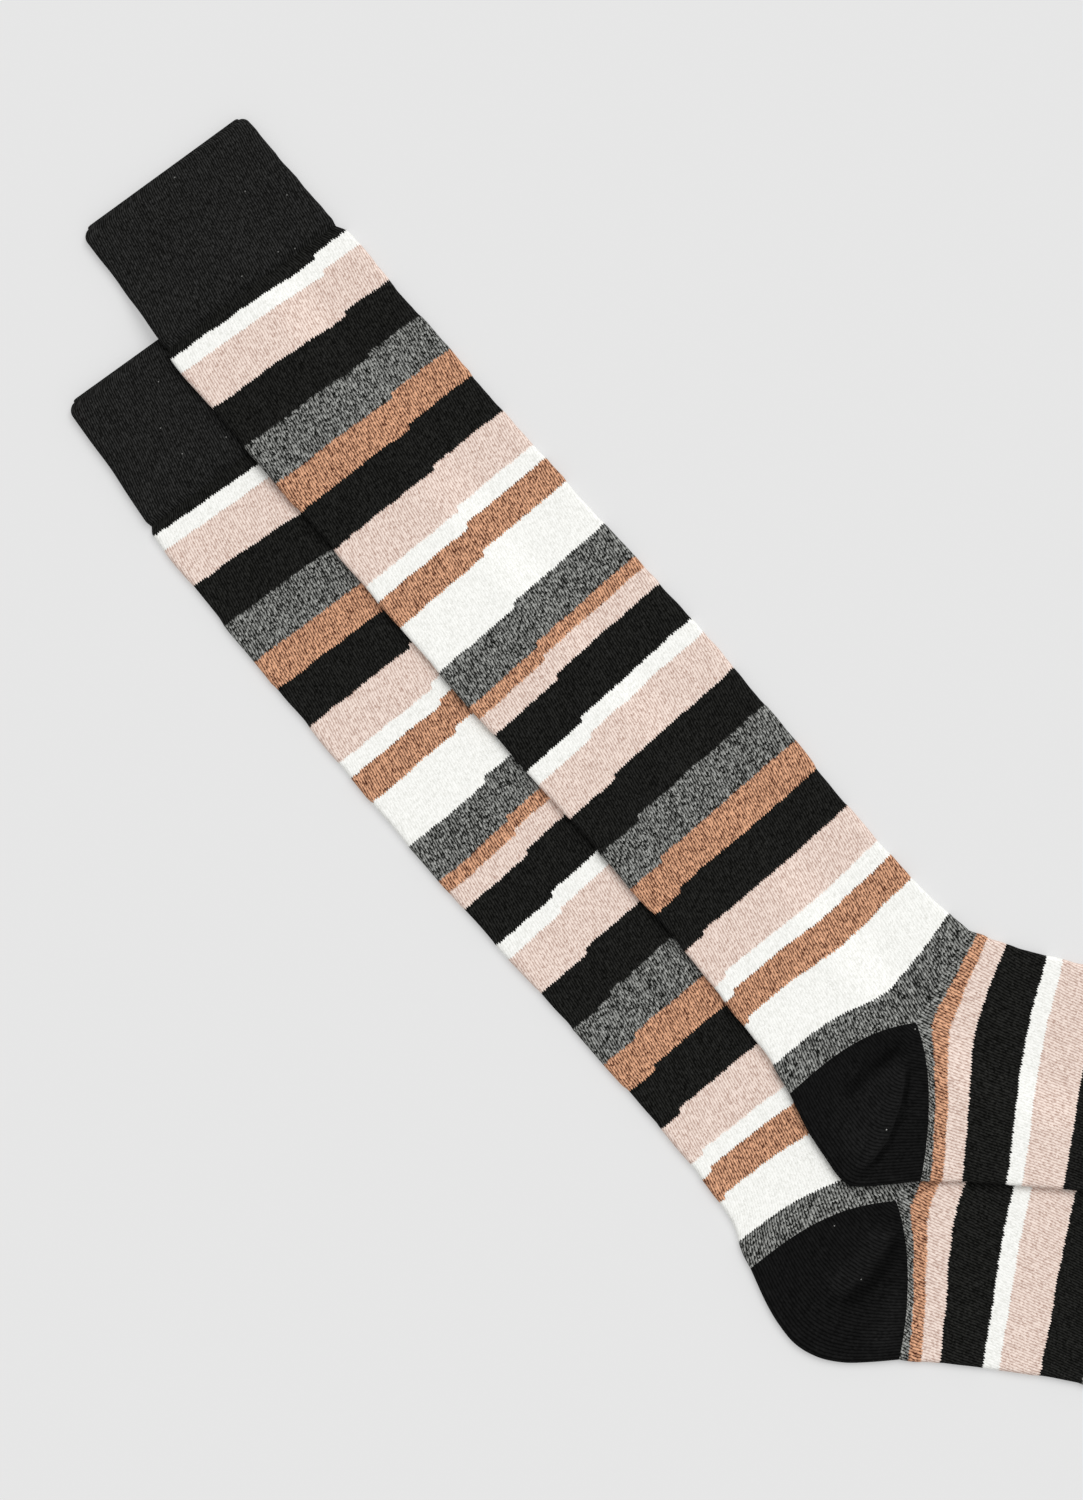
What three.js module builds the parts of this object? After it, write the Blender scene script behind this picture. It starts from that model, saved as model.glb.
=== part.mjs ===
// A pair of knee-high striped socks, laid flat, one half over the other.
// Millimetres, +Z up. The legs lie along Y with the cuffs towards +Y, the heels point to -X
// and the feet to +X. The origin is on the surface, under the middle of the pair.
// Each sock is a flattened tube of knitted cloth: cuff, leg, heel pocket, foot and toe pocket.
import * as THREE from "three";

// Cloth
const LEG_WALL = 1.2; // one layer of the plain knit
const LEG_THICK = 3.0; // both layers of the flattened tube, with the air between them
const CUFF_WALL = 1.6; // the cuff is knitted double and turned in
const CUFF_THICK = 3.8;
const SEAM_GAP = 0.3; // between two pieces, and between the socks
const COURSE = 0.67; // height of one knitted row

// Rows of knitting at which the pieces meet, counted from the first stripe
const CUFF_TOP = -81;
const CUFF_CORNER = -77; // the cuff's top corners are rounded down to this row
const CUFF_END = -5;
const HEEL_COURSE = 517;
const TOE_COURSE = 784;

// The leg. Each row is one course line, and says where it meets the back fold and the front fold:
// across from the leg's middle, and down from the cuff's back corner.
const LEG_ROWS = [
  { course: CUFF_TOP, back: [-32.0, 0.2], front: [37.6, 6.4] },
  { course: CUFF_CORNER, back: [-34.2, 3.1], front: [39.2, 9.2] },
  { course: -42, back: [-35.3, 27.0], front: [38.5, 31.0] },
  { course: CUFF_END, back: [-37.8, 52.0], front: [38.6, 57.4] },
  { course: 0, back: [-38.9, 55.1], front: [40.0, 61.2] },
  { course: 35, back: [-39.2, 78.8], front: [39.6, 84.6] },
  { course: 132, back: [-39.6, 145.8], front: [39.6, 146.9] },
  { course: 214, back: [-39.8, 203.4], front: [40.3, 201.6] },
  { course: 285, back: [-39.6, 251.6], front: [41.8, 248.4] },
  { course: 347, back: [-38.7, 291.2], front: [41.4, 289.4] },
  { course: 417, back: [-38.9, 336.6], front: [40.0, 335.9] },
  { course: 469, back: [-40.3, 370.4], front: [40.1, 370.1] },
  { course: 499, back: [-41.6, 388.8], front: [41.8, 388.8] },
  { course: HEEL_COURSE, back: [-43.9, 400.7], front: [43.2, 398.9] },
];

// The foot, in its own axes from the heel's corner: along the foot at the sole fold and at the
// instep fold, and across to the sole fold (negative) and to the instep fold.
const FOOT_ROWS = [
  { course: HEEL_COURSE, soleAlong: 10.4, instepAlong: 11.9, sole: -54.2, instep: 35.9 },
  { course: 524, soleAlong: 13.4, instepAlong: 14.5, sole: -54.0, instep: 35.2 },
  { course: 545, soleAlong: 24.8, instepAlong: 26.1, sole: -52.6, instep: 33.6 },
  { course: 570, soleAlong: 40.0, instepAlong: 40.8, sole: -51.7, instep: 31.8 },
  { course: 605, soleAlong: 59.8, instepAlong: 61.2, sole: -50.3, instep: 30.2 },
  { course: 680, soleAlong: 103.5, instepAlong: 104.0, sole: -49.4, instep: 28.4 },
  { course: 740, soleAlong: 138.0, instepAlong: 138.5, sole: -50.2, instep: 28.2 },
  { course: TOE_COURSE, soleAlong: 163.5, instepAlong: 163.5, sole: -49.8, instep: 26.6 },
];
const FOOT_TURN = THREE.MathUtils.degToRad(39.5); // between the leg and the foot as they lie
const CORNER = [7.9, 412.6]; // the heel's corner on the side of the ankle: across, down
const CORNER_SHARE = 0.595; // its place on a course line, from the back fold to the front fold
const DIP_REACH = 20; // how far from the heel the course lines still bend towards its corner
const DIP_ROUND = 0.3; // how round that bend is, away from the heel
const LEG_BEND = 3; // powers of the bend between the back fold and the corner
const FOOT_BEND = 1.2;
const HEEL_LEAN = 1.15; // puts the heel's tip a little nearer the sole
const TOE_LENGTH = 46;
const POCKET_CORNER = 1.5; // a pocket's cloth stops this far from its corner, where its rows end

// How each sock lies: moved from the first, turned about the heel's corner, its leg bowed and
// eased, its heel pulled out behind, and its foot leaning a little more or less.
const UPPER = { shift: [0, 0], turn: 0, bow: 0, ease: 0, heelBulge: 15.5, heelPull: 0, footLean: 0 };
const LOWER = {
  shift: [-47.5, -43.9],
  turn: THREE.MathUtils.degToRad(-0.36),
  bow: -3.0,
  ease: -5.0,
  heelBulge: 16.5,
  heelPull: 3.2,
  footLean: 0.05,
};
const EASE_COURSES = [20, 500];
const PULL_REACH = 20; // how far up the back of the leg that pull is felt

// The upper sock comes down from the lower one to the surface this far outside its outline, over
// this length. It follows the step at the lower cuff's end this much later, over this length.
const RAMP_START = 5;
const RAMP = 20;
const CUFF_DELAY = 8;
const CUFF_EASING = 16;

// How finely the pieces are divided: faces across each half of the flat, along each rounded fold
// and round each pocket's fan, and points along the outline that the upper sock is draped over
const HALF_STEPS = 4;
const FOLD_STEPS = 3;
const HEEL_STEPS = 12;
const TOE_STEPS = 12;
const OUTLINE_STEPS = { leg: 120, foot: 20, fan: 16 };

// A table's value at any course, on a smooth curve through its rows.
function valueAt(rows, read, course) {
  const last = rows.length - 1;
  let i = 0;
  while (i < last - 1 && course > rows[i + 1].course) i++;
  const slope = (k) => {
    const before = rows[Math.max(k - 1, 0)];
    const after = rows[Math.min(k + 1, last)];
    return (read(after) - read(before)) / (after.course - before.course);
  };
  const span = rows[i + 1].course - rows[i].course;
  const t = (course - rows[i].course) / span;
  const [y0, y1] = [read(rows[i]), read(rows[i + 1])];
  const rise = t * t * (3 - 2 * t);
  const startBend = t * (1 - t) * (1 - t) * span * slope(i);
  const endBend = t * t * (t - 1) * span * slope(i + 1);
  return y0 + (y1 - y0) * rise + startBend + endBend;
}

const evenly = (from, to, steps) =>
  Array.from({ length: steps + 1 }, (_, i) => from + ((to - from) * i) / steps);
const mix = (p, q, t) => [p[0] + (q[0] - p[0]) * t, p[1] + (q[1] - p[1]) * t];
const plus = (p, q, times = 1) => [p[0] + q[0] * times, p[1] + q[1] * times];
const minus = (p, q) => plus(p, q, -1);
const distance = (p, q) => Math.hypot(p[0] - q[0], p[1] - q[1]);
const corner = [CORNER[0], -CORNER[1]];

// The point at some way along and across the foot, in the sock's own plane.
function footPoint(lay, along, across) {
  const [sin, cos] = [Math.sin(FOOT_TURN), Math.cos(FOOT_TURN)];
  const aside = across - lay.footLean * along;
  return [corner[0] + along * sin + aside * cos, corner[1] - along * cos + aside * sin];
}

// The two ends of a course line, on the back or sole fold and on the front or instep fold.
function foldPoints(lay, course, part) {
  if (part === "foot") {
    const value = (name) => valueAt(FOOT_ROWS, (row) => row[name], course);
    return [
      footPoint(lay, value("soleAlong"), value("sole")),
      footPoint(lay, value("instepAlong"), value("instep")),
    ];
  }
  const value = (side, axis) => valueAt(LEG_ROWS, (row) => row[side][axis], course);
  const [first, last] = EASE_COURSES;
  const share = THREE.MathUtils.clamp((course - first) / (last - first), 0, 1);
  const ease = lay.ease * Math.sin(Math.PI * share) ** 2;
  const place = (side, pull) => {
    const down = value(side, 1);
    const bow = lay.bow * Math.sin((Math.PI * down) / LEG_ROWS.at(-1).back[1]);
    return [value(side, 0) + bow - pull, -down - ease];
  };
  const pull = lay.heelPull * Math.exp(-((((HEEL_COURSE - course) * COURSE) / PULL_REACH) ** 2));
  return [place("back", pull), place("front", 0)];
}

// A point of a course line: share 0 is the back fold, 1 the front fold. Near the heel the line
// bends to pass through the heel's corner, and the bend fades with distance.
function coursePoint(lay, course, share, part) {
  const [back, front] = foldPoints(lay, course, part);
  const [heelBack, heelFront] = foldPoints(lay, HEEL_COURSE, part);
  const dip = minus(corner, mix(heelBack, heelFront, CORNER_SHARE));
  const far = (Math.abs(course - HEEL_COURSE) * COURSE) / DIP_REACH;
  const behind = share < CORNER_SHARE;
  const away = behind
    ? (CORNER_SHARE - share) / CORNER_SHARE
    : (share - CORNER_SHARE) / (1 - CORNER_SHARE);
  const round = DIP_ROUND * (1 - Math.exp(-far));
  const softAway = (Math.hypot(away, round) - round) / (Math.hypot(1, round) - round);
  const power = !behind ? 1 : part === "foot" ? FOOT_BEND : LEG_BEND;
  return plus(mix(back, front, share), dip, Math.exp(-far) * Math.max(1 - softAway, 0) ** power);
}

// The heel pocket, a fan about the corner. round runs from the leg (0) to the foot (1), and
// share from the heel's fold (0) to the corner.
function heelPoint(lay, round, share) {
  const upper = coursePoint(lay, HEEL_COURSE, share, "leg");
  const lower = coursePoint(lay, HEEL_COURSE, share, "foot");
  const [start, end] = [foldPoints(lay, HEEL_COURSE, "leg")[0], foldPoints(lay, HEEL_COURSE, "foot")[0]];
  const chord = minus(end, start);
  const long = Math.hypot(...chord);
  const outward = [chord[1] / long, -chord[0] / long];
  const bulge = lay.heelBulge * Math.sin(Math.PI * round ** HEEL_LEAN);
  return plus(mix(upper, lower, round), outward, bulge * (1 - share / CORNER_SHARE) ** FOOT_BEND);
}

// The toe pocket, the same kind of fan: round runs from the sole (0) over the tip to the instep (1).
function toePoint(lay, round, share) {
  const across = (1 - Math.cos(Math.PI * round)) / 2;
  const sole = coursePoint(lay, TOE_COURSE, share, "foot");
  const instepShare = 1 - (share * (1 - CORNER_SHARE)) / CORNER_SHARE;
  const instep = coursePoint(lay, TOE_COURSE, instepShare, "foot");
  const ahead = minus(footPoint(lay, 1, 0), footPoint(lay, 0, 0));
  const bulge = TOE_LENGTH * Math.sin(Math.PI * round) * (1 - share / CORNER_SHARE);
  return plus(mix(sole, instep, across), ahead, bulge);
}

// A sock's own plane laid on the surface: turned about the heel's corner, then moved.
function laid(lay, point) {
  const [sin, cos] = [Math.sin(lay.turn), Math.cos(lay.turn)];
  const [x, y] = minus(point, corner);
  return plus(plus(corner, [x * cos - y * sin, x * sin + y * cos]), lay.shift);
}

// The lower sock's outline, which the upper one is draped over.
function outlineOf(lay) {
  const fold = (part, side, from, to) =>
    evenly(from, to, OUTLINE_STEPS[part]).map((course) => foldPoints(lay, course, part)[side]);
  const fan = (pointOf) =>
    evenly(0, 1, OUTLINE_STEPS.fan).map((round) => pointOf(lay, round, 0));
  return [
    ...fold("leg", 0, CUFF_TOP, HEEL_COURSE),
    ...fan(heelPoint),
    ...fold("foot", 0, HEEL_COURSE, TOE_COURSE),
    ...fan(toePoint),
    ...fold("foot", 1, TOE_COURSE, HEEL_COURSE),
    ...fold("leg", 1, HEEL_COURSE, CUFF_TOP),
  ].map((point) => laid(lay, point));
}

// How far a point is outside an outline, or 0 inside it.
function outside(outline, [x, y]) {
  let inside = false;
  let nearest = Infinity;
  outline.forEach(([x1, y1], i) => {
    const [x2, y2] = outline[(i + 1) % outline.length];
    if (y1 > y !== y2 > y && x < x1 + ((x2 - x1) * (y - y1)) / (y2 - y1)) inside = !inside;
    const along = ((x - x1) * (x2 - x1) + (y - y1) * (y2 - y1)) / ((x2 - x1) ** 2 + (y2 - y1) ** 2 || 1);
    const t = THREE.MathUtils.clamp(along, 0, 1);
    nearest = Math.min(nearest, Math.hypot(x - x1 - (x2 - x1) * t, y - y1 - (y2 - y1) * t));
  });
  return inside ? 0 : nearest;
}

// The height at which the upper sock lies: on the lower sock, then down a soft slope to the surface.
const lowerOutline = outlineOf(LOWER);
const lowerCuffEnd = laid(LOWER, foldPoints(LOWER, CUFF_END, "leg")[1])[1];
function drape(point) {
  const below = THREE.MathUtils.smoothstep(lowerCuffEnd - CUFF_DELAY - point[1], 0, CUFF_EASING);
  const lowerTop = CUFF_THICK + (LEG_THICK - CUFF_THICK) * below;
  const past = outside(lowerOutline, point) - RAMP_START;
  const down = THREE.MathUtils.clamp(past / RAMP, 0, 1);
  return (lowerTop + SEAM_GAP) * (0.5 + 0.5 * Math.cos(Math.PI * down));
}
const onSurface = () => 0;

// Distances and heights round a flattened tube of that width, from the back fold over the top,
// round the front fold and back underneath. radius is half the height of this side of the wall.
function flatLoop(width, half, radius) {
  const points = [];
  const flat = (height, backwards) => {
    const middle = CORNER_SHARE * width;
    const behind = evenly(half, middle, HALF_STEPS);
    const across = [...behind, ...evenly(middle, width - half, HALF_STEPS).slice(1)];
    if (backwards) across.reverse();
    points.push(...across.map((x) => [x, height]));
  };
  const fold = (centre, start) => {
    for (let i = 1; i < FOLD_STEPS; i++) {
      const angle = start - (Math.PI * i) / FOLD_STEPS;
      points.push([centre + radius * Math.cos(angle), half + radius * Math.sin(angle)]);
    }
  };
  flat(half + radius, false);
  fold(width - half, Math.PI / 2);
  flat(half - radius, true);
  fold(half, -Math.PI / 2);
  return points;
}

// The same for a pocket, open at its corner: from near the corner underneath to the fold, round it
// and back over the top.
function pocketLoop(length, half, radius) {
  const points = [];
  const across = evenly(length - POCKET_CORNER, half, HALF_STEPS);
  across.forEach((x) => points.push([x, half - radius]));
  for (let i = 1; i < FOLD_STEPS; i++) {
    const angle = -Math.PI / 2 - (Math.PI * i) / FOLD_STEPS;
    points.push([half + radius * Math.cos(angle), half + radius * Math.sin(angle)]);
  }
  across.reverse().forEach((x) => points.push([x, half + radius]));
  return points;
}

// A wall of cloth between an outer and an inner grid of points, closed along all its edges.
function wallGeometry(outer, inner, closedRound) {
  const rows = outer.length;
  const columns = outer[0].length;
  const index = (layer, row, column) => (layer * rows + row) * columns + (column % columns);
  const quads = [];
  const spans = closedRound ? columns : columns - 1;
  for (let row = 0; row < rows - 1; row++) {
    for (let column = 0; column < spans; column++) {
      const corners = [[row, column], [row, column + 1], [row + 1, column + 1], [row + 1, column]];
      quads.push(corners.map(([r, c]) => index(0, r, c)));
      quads.push(corners.reverse().map(([r, c]) => index(1, r, c)));
    }
  }
  const rim = (places) => {
    for (let i = 0; i < places.length - 1; i++) {
      const [[r1, c1], [r2, c2]] = [places[i], places[i + 1]];
      quads.push([index(0, r2, c2), index(0, r1, c1), index(1, r1, c1), index(1, r2, c2)]);
    }
  };
  const columnList = evenly(0, spans, spans);
  const rowList = evenly(0, rows - 1, rows - 1);
  rim(columnList.map((c) => [0, c]));
  rim([...columnList].reverse().map((c) => [rows - 1, c]));
  if (!closedRound) {
    rim([...rowList].reverse().map((r) => [r, 0]));
    rim(rowList.map((r) => [r, columns - 1]));
  }
  const geometry = new THREE.BufferGeometry();
  const positions = [...outer.flat(), ...inner.flat()].flat();
  geometry.setAttribute("position", new THREE.Float32BufferAttribute(positions, 3));
  geometry.setIndex(quads.flatMap(([a, b, c, d]) => [a, c, b, a, d, c]));
  geometry.computeVertexNormals();
  return geometry;
}

// A stretch of the tube between two courses, with one ring of points at each listed course.
function tubeGeometry(lay, heightAt, part, courses, thick, wall) {
  const half = thick / 2;
  const ring = (course, radius) => {
    const width = distance(...foldPoints(lay, course, part));
    return flatLoop(width, half, radius).map(([across, height]) => {
      const point = laid(lay, coursePoint(lay, course, across / width, part));
      return [...point, height + heightAt(point)];
    });
  };
  const outer = courses.map((course) => ring(course, half));
  const inner = courses.map((course) => ring(course, half - wall));
  return wallGeometry(outer, inner, true);
}

// A heel or toe pocket, with one curve of points at each step round its fan.
function pocketGeometry(lay, heightAt, pointOf, steps) {
  const half = LEG_THICK / 2;
  const curve = (round, radius) => {
    const length = distance(pointOf(lay, round, 0), pointOf(lay, round, CORNER_SHARE));
    return pocketLoop(length, half, radius).map(([inward, height]) => {
      const point = laid(lay, pointOf(lay, round, (CORNER_SHARE * inward) / length));
      return [...point, height + heightAt(point)];
    });
  };
  const rounds = evenly(0, 1, steps);
  const outer = rounds.map((round) => curve(round, half));
  const inner = rounds.map((round) => curve(round, half - LEG_WALL));
  return wallGeometry(outer, inner, false);
}

// The courses of each stretch, closer together at the ankle, and a seam's gap short at its ends.
// At the heel the courses slant, so there the gap is wider.
const gap = SEAM_GAP / COURSE;
const slantGap = 1.6 * gap;
const CUFF_COURSES = [CUFF_TOP, ...evenly(CUFF_CORNER, CUFF_END - gap, 4)];
const LEG_COURSES = [CUFF_END, ...evenly(0, 420, 15), ...evenly(440, HEEL_COURSE - slantGap, 6)];
const FOOT_COURSES = [...evenly(HEEL_COURSE + slantGap, 575, 5), ...evenly(605, TOE_COURSE - gap, 5)];

const YARN = {
  black: { color: 0x1c1c1c, roughness: 0.95, metalness: 0 },
  striped: { color: 0xd9c6bb, roughness: 0.95, metalness: 0 },
};
const yarn = (name) => new THREE.MeshStandardMaterial(YARN[name]);

// One sock: its five pieces, named for the sock they belong to.
function sock(name, lay, heightAt) {
  const group = new THREE.Group();
  const add = (piece, geometry, material) => {
    const mesh = new THREE.Mesh(geometry, yarn(material));
    mesh.name = `${name}_${piece}`;
    group.add(mesh);
  };
  const tube = (part, courses, thick, wall) =>
    tubeGeometry(lay, heightAt, part, courses, thick, wall);
  add("cuff", tube("leg", CUFF_COURSES, CUFF_THICK, CUFF_WALL), "black");
  add("leg", tube("leg", LEG_COURSES, LEG_THICK, LEG_WALL), "striped");
  add("heel", pocketGeometry(lay, heightAt, heelPoint, HEEL_STEPS), "black");
  add("foot", tube("foot", FOOT_COURSES, LEG_THICK, LEG_WALL), "striped");
  add("toe", pocketGeometry(lay, heightAt, toePoint, TOE_STEPS), "black");
  return group;
}

const pair = new THREE.Group();
pair.add(sock("lower", LOWER, onSurface), sock("upper", UPPER, drape));
const middle = new THREE.Box3().setFromObject(pair).getCenter(new THREE.Vector3());
pair.position.set(-middle.x, -middle.y, 0);

export default pair;
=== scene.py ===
# %% [markdown]
# # A pair of striped knee-high socks, laid flat
#
# Two fine cotton socks lie on a pale surface, one half over the other. This lesson makes their
# visible cloth in Blender, on a frame that already holds their solids. We work in millimetres,
# as a maker would, and turn them into metres when a mesh is made.

# %% Load the frame
import math

import bmesh
import bpy
import numpy as np
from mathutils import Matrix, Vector


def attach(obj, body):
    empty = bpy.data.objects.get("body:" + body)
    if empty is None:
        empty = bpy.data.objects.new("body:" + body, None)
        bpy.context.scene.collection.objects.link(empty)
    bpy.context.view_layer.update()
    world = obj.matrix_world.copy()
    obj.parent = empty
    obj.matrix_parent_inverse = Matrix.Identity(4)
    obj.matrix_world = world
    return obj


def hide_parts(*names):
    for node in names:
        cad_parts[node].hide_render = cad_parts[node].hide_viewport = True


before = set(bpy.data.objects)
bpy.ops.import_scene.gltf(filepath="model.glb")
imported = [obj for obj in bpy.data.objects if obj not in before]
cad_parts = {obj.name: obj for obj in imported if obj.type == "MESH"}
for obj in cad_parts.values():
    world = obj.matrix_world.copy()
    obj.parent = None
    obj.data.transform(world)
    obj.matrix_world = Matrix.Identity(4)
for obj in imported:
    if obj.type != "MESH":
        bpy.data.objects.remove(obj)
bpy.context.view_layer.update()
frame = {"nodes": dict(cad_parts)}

MM = 0.001
SEED = 14
print("nodes:", ", ".join(frame["nodes"]))

# %% [markdown]
# ## The courses and wales of a sock
#
# A sock is knitted in the round. One row of loops is a course, and one column of loops is a wale.
# If every point of the cloth knows its course and its wale, the stripes, the stitches and the
# shape can all be worked out from those two numbers. The tables say where a course lies on the
# flat sock, so the cloth bends at the ankle as the real one does.

# %% Sizes of the cloth
COURSE = 0.67
WALES_ROUND = 168
WALES_FLAT = WALES_ROUND / 2
LEG_WALL, LEG_THICK = 1.2, 3.0
CUFF_WALL, CUFF_THICK = 1.6, 3.8
LIE_GAP = 0.3

CUFF_TOP, CUFF_END, HEEL_COURSE, TOE_COURSE = -81, -5, 517, 784

# course, back fold across and down, front fold across and down
LEG_ROWS = np.array([
    (CUFF_TOP, -33.6, 0.2, 38.9, 6.4),
    (-42, -35.3, 27.0, 38.5, 31.0),
    (CUFF_END, -37.8, 52.0, 38.6, 57.4),
    (0, -38.9, 55.3, 40.0, 62.2),
    (35, -39.2, 77.4, 39.6, 84.6),
    (132, -39.6, 144.9, 39.6, 147.6),
    (214, -39.8, 202.3, 40.3, 201.5),
    (285, -39.6, 250.4, 41.8, 248.3),
    (347, -38.7, 290.0, 41.4, 289.0),
    (417, -38.9, 336.4, 40.0, 336.3),
    (469, -40.3, 370.2, 40.1, 370.6),
    (499, -41.6, 388.8, 41.8, 388.8),
    (HEEL_COURSE, -43.9, 400.7, 43.2, 398.9),
])
# course, along the foot at the sole and at the instep, across to the sole and to the instep
FOOT_ROWS = np.array([
    (HEEL_COURSE, 9.4, 11.9, -55.7, 35.9),
    (524, 12.8, 14.5, -55.3, 35.2),
    (545, 24.8, 26.1, -53.6, 33.6),
    (570, 40.0, 40.8, -52.1, 31.8),
    (605, 59.8, 61.2, -50.3, 30.2),
    (680, 103.5, 104.0, -49.4, 28.4),
    (740, 138.0, 138.5, -50.2, 28.2),
    (TOE_COURSE, 163.5, 163.5, -49.8, 26.6),
])
FOOT_TURN = math.radians(39.5)
CORNER = np.array([7.9, -412.6])
PIVOT = CORNER + np.array([-0.85, 1.3])  # where the heel's course lines meet
CORNER_SHARE = 0.595
DIP_REACH, DIP_ROUND = 20, 0.3
LEG_BEND, FOOT_BEND = 3, 1.2
SEAM_BULGE, SEAM_LEAN, SEAM_REACH = 3.2, 0.75, 5
TOE_LENGTH = 46

# share of the way round the heel, how far it swells out behind
UPPER_HEEL = np.array([
    (0, 0), (0.22, 7.3), (0.41, 11.9), (0.57, 15.3), (0.67, 14.9), (0.82, 8.6), (1, 0),
])
LOWER_HEEL = np.array([
    (0, 0), (0.18, 7.6), (0.31, 11.9), (0.45, 14.8), (0.6, 14.5), (0.74, 11.3), (0.86, 6.5), (1, 0),
])

# Each sock: its seed and first round of wales, where it is moved and turned to, how far its leg
# bows aside and eases down, its heel's table and pull on the back fold, and its foot's lean.
UPPER = dict(
    name="upper", seed=SEED + 10, turns=3, shift=(0, 0), turn=0, bow=0, ease=0,
    heel=UPPER_HEEL, heel_pull=0, heel_rise=0, foot_lean=0,
)
LOWER = dict(
    name="lower", seed=SEED, turns=0, shift=(-47.5, -43.9), turn=math.radians(-0.36),
    bow=-3.0, ease=-3.5, heel=LOWER_HEEL, heel_pull=4.6, heel_rise=5.0, foot_lean=0.05,
)
EASE_COURSES = (20, 500)
PULL_REACH = 20
print("a sock has", TOE_COURSE - CUFF_TOP, "courses from cuff to toe and", WALES_ROUND, "wales round")


# %% [markdown]
# ## Where a course line lies
#
# On the flat sock a course is a line from the back fold to the front fold. Along the leg and the
# foot it is straight. Near the ankle it dips towards the corner where the heel pocket ends. One
# function for each part could trace the outline only, but we let it place any point of a course,
# so that every later cell can ask it where a stitch lies.

# %% Where a course line lies
def table_at(rows, column, course):
    """A table's column at any course: a cubic between two rows, whose slope at each row is that
    of the line through the rows on either side of it."""
    at, value = rows[:, 0], rows[:, column]
    index = np.arange(len(at))
    before, after = np.maximum(index - 1, 0), np.minimum(index + 1, len(at) - 1)
    slope = (value[after] - value[before]) / (at[after] - at[before])
    i = np.clip(np.searchsorted(at, course) - 1, 0, len(at) - 2)
    span = at[i + 1] - at[i]
    t = (course - at[i]) / span
    rise = t * t * (3 - 2 * t)
    bend = t * (1 - t) * span * ((1 - t) * slope[i] - t * slope[i + 1])
    return value[i] + (value[i + 1] - value[i]) * rise + bend


def foot_point(lay, along, across):
    """Along the foot and across it, turned by the ankle's angle and set on the heel's corner."""
    sin, cos = math.sin(FOOT_TURN), math.cos(FOOT_TURN)
    aside = across - lay["foot_lean"] * along
    return np.stack([CORNER[0] + along * sin + aside * cos, CORNER[1] - along * cos + aside * sin], -1)


def folds(lay, course, part):
    """The two ends of a course line: on the back or sole fold, and on the front or instep fold."""
    course = np.asarray(course, float)
    if part == "foot":
        sole_along, instep_along, sole, instep = (table_at(FOOT_ROWS, k, course) for k in (1, 2, 3, 4))
        return foot_point(lay, sole_along, sole), foot_point(lay, instep_along, instep)
    first, last = EASE_COURSES
    ease = lay["ease"] * np.sin(np.pi * np.clip((course - first) / (last - first), 0, 1)) ** 2
    near_heel = np.exp(-(((HEEL_COURSE - course) * COURSE / PULL_REACH) ** 2))
    ends = []
    for across, down, drawn, raised in ((1, 2, lay["heel_pull"], lay["heel_rise"]), (3, 4, 0, 0)):
        fall = table_at(LEG_ROWS, down, course)
        bow = lay["bow"] * np.sin(np.pi * fall / LEG_ROWS[-1, 2]) - drawn * near_heel
        x = table_at(LEG_ROWS, across, course) + bow
        ends.append(np.stack([x, raised * near_heel - fall - ease], -1))
    return ends


def course_point(lay, course, share, part):
    """A point of a course line, at a share of the way from the back fold to the front fold. The
    line is straight far from the heel. Near it, it dips to pass through the heel's corner, and on
    the foot the full heel pushes it ahead by half a sine."""
    course, share = np.broadcast_arrays(np.asarray(course, float), share)
    back, front = folds(lay, course, part)
    heel_back, heel_front = folds(lay, HEEL_COURSE, part)
    dip = PIVOT - (heel_back + (heel_front - heel_back) * CORNER_SHARE)
    far = np.abs(course - HEEL_COURSE) * COURSE / DIP_REACH
    behind = share < CORNER_SHARE
    before, beyond = CORNER_SHARE - share, share - CORNER_SHARE
    away = np.where(behind, before / CORNER_SHARE, beyond / (1 - CORNER_SHARE))
    soft = DIP_ROUND * (1 - np.exp(-far))
    soft_away = (np.hypot(away, soft) - soft) / (np.hypot(1, soft) - soft)
    power = np.where(behind, FOOT_BEND if part == "foot" else LEG_BEND, 1)
    depth = np.exp(-far) * np.maximum(1 - soft_away, 0) ** power
    point = back + (front - back) * share[..., None] + dip * depth[..., None]
    if part == "leg":
        return point
    ahead = foot_point(lay, 1.0, 0.0) - foot_point(lay, 0.0, 0.0)
    half_sine = np.where(behind, np.sin(np.pi * away.clip(0, 1) ** SEAM_LEAN), 0)
    bulge = SEAM_BULGE * half_sine * np.exp(-far * DIP_REACH / SEAM_REACH)
    return point + ahead * bulge[..., None]


heel_line = np.array(folds(UPPER, HEEL_COURSE, "leg"))
print("the heel's course line runs from", heel_line[0].round(1), "to", heel_line[1].round(1), "mm")

# %% [markdown]
# ## Fans of courses
#
# In the heel and toe pockets the courses turn a corner, so there they open like a fan. Two fans
# take the courses round, and the sock's own small table says how full the heel is. Then the whole
# sock is turned and moved to its place, and its outline is read from the same functions.

# %% The heel, the toe and the outline
def heel_point(lay, fan, share):
    """The heel pocket: course lines fanned out about the corner, from the leg's (0) to the foot's
    (1), and swelled out behind by the sock's own table."""
    leg_line = course_point(lay, HEEL_COURSE, share, "leg")
    foot_line = course_point(lay, HEEL_COURSE, share, "foot")
    chord = folds(lay, HEEL_COURSE, "foot")[0] - folds(lay, HEEL_COURSE, "leg")[0]
    outward = np.array([chord[1], -chord[0]]) / np.hypot(*chord)
    swell = table_at(lay["heel"], 1, fan) * (1 - share / CORNER_SHARE).clip(0) ** FOOT_BEND
    return leg_line + (foot_line - leg_line) * fan[..., None] + outward * swell[..., None]


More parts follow.
